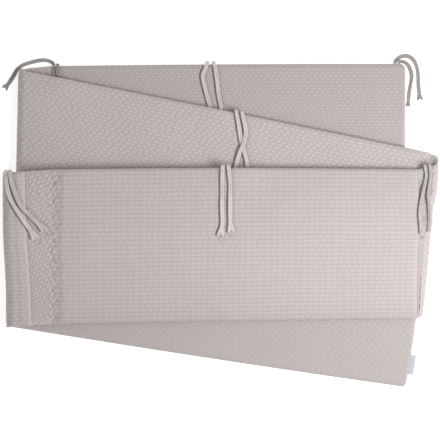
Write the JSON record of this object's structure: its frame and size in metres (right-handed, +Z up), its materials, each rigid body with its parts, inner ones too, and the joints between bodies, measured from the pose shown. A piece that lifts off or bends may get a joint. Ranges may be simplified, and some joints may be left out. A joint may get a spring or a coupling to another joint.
{
  "type": "playpen bumper",
  "caption": "padded playpen bumper folded back and forth into a flat stack, with pairs of tape ties along one edge",
  "frame": {"origin": "middle of the folded strip and its label in plan, on the surface they lie on", "axes": "+X along the panels, +Y towards the tie edge, +Z up through the folded layers"},
  "size_m": [0.8745, 0.6681, 0.0804],
  "materials": {
    "bubble_cloth": "matte puckered knit, warm light taupe grey",
    "tape_cloth": "matte plain tape of the same colour",
    "ribbon": "soft satin ribbon, blank"
  },
  "bodies": {
    "root": {"bumper": "bubble_cloth", "label": "ribbon", "tie_end_a_inner": "tape_cloth", "tie_end_a_outer": "tape_cloth", "tie_fold_1_inner": "tape_cloth", "tie_fold_1_outer": "tape_cloth", "tie_fold_2_left": "tape_cloth", "tie_fold_2_right": "tape_cloth", "tie_fold_3_left": "tape_cloth", "tie_fold_3_right": "tape_cloth", "tie_mid_a_left": "tape_cloth", "tie_mid_a_right": "tape_cloth", "tie_mid_b_left": "tape_cloth", "tie_mid_b_right": "tape_cloth", "tie_mid_c_left": "tape_cloth", "tie_mid_c_right": "tape_cloth"}
  },
  "joints": []
}
